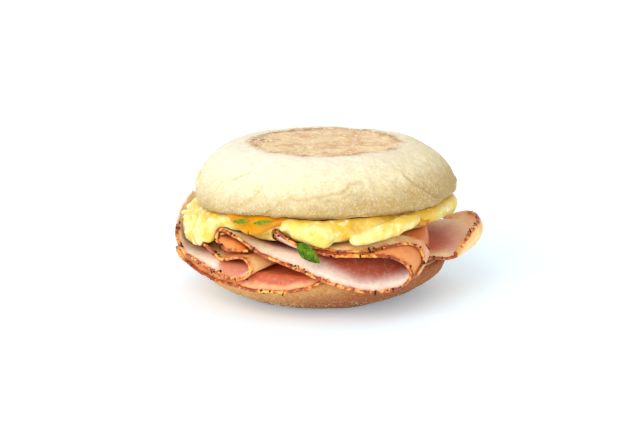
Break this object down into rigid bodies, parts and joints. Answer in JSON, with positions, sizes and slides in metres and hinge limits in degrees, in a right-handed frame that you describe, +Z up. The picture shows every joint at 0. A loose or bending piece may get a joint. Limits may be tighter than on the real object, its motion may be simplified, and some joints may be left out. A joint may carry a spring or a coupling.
{
  "type": "breakfast sandwich",
  "caption": "Round muffin sandwich with folded ham slices, an omelette, a melted cheese slice and basil leaves between its halves.",
  "frame": {"origin": "centre of the flat spot under the lower muffin half, on the surface it rests on", "axes": "+Z up through the sandwich, -Y towards the front where the ham folds open, +X towards the rolled ham slice on the right"},
  "size_m": [0.1131, 0.1029, 0.0554],
  "materials": {
    "bread": "floury baked crust with a browned griddled spot",
    "ham": "moist sliced ham with an orange-brown peppered rind",
    "egg": "soft cooked omelette, slightly moist",
    "cheese": "melted sliced cheese, glossy",
    "basil": "fresh basil leaf, softly glossy"
  },
  "bodies": {
    "root": {"heel": "bread", "crown": "bread", "ham_base": "ham", "ham_left": "ham", "ham_front": "ham", "ham_wrap": "ham", "ham_right": "ham", "omelette": "egg", "cheese": "cheese", "basil_front": "basil", "basil_left": "basil", "basil_middle": "basil"}
  },
  "joints": []
}
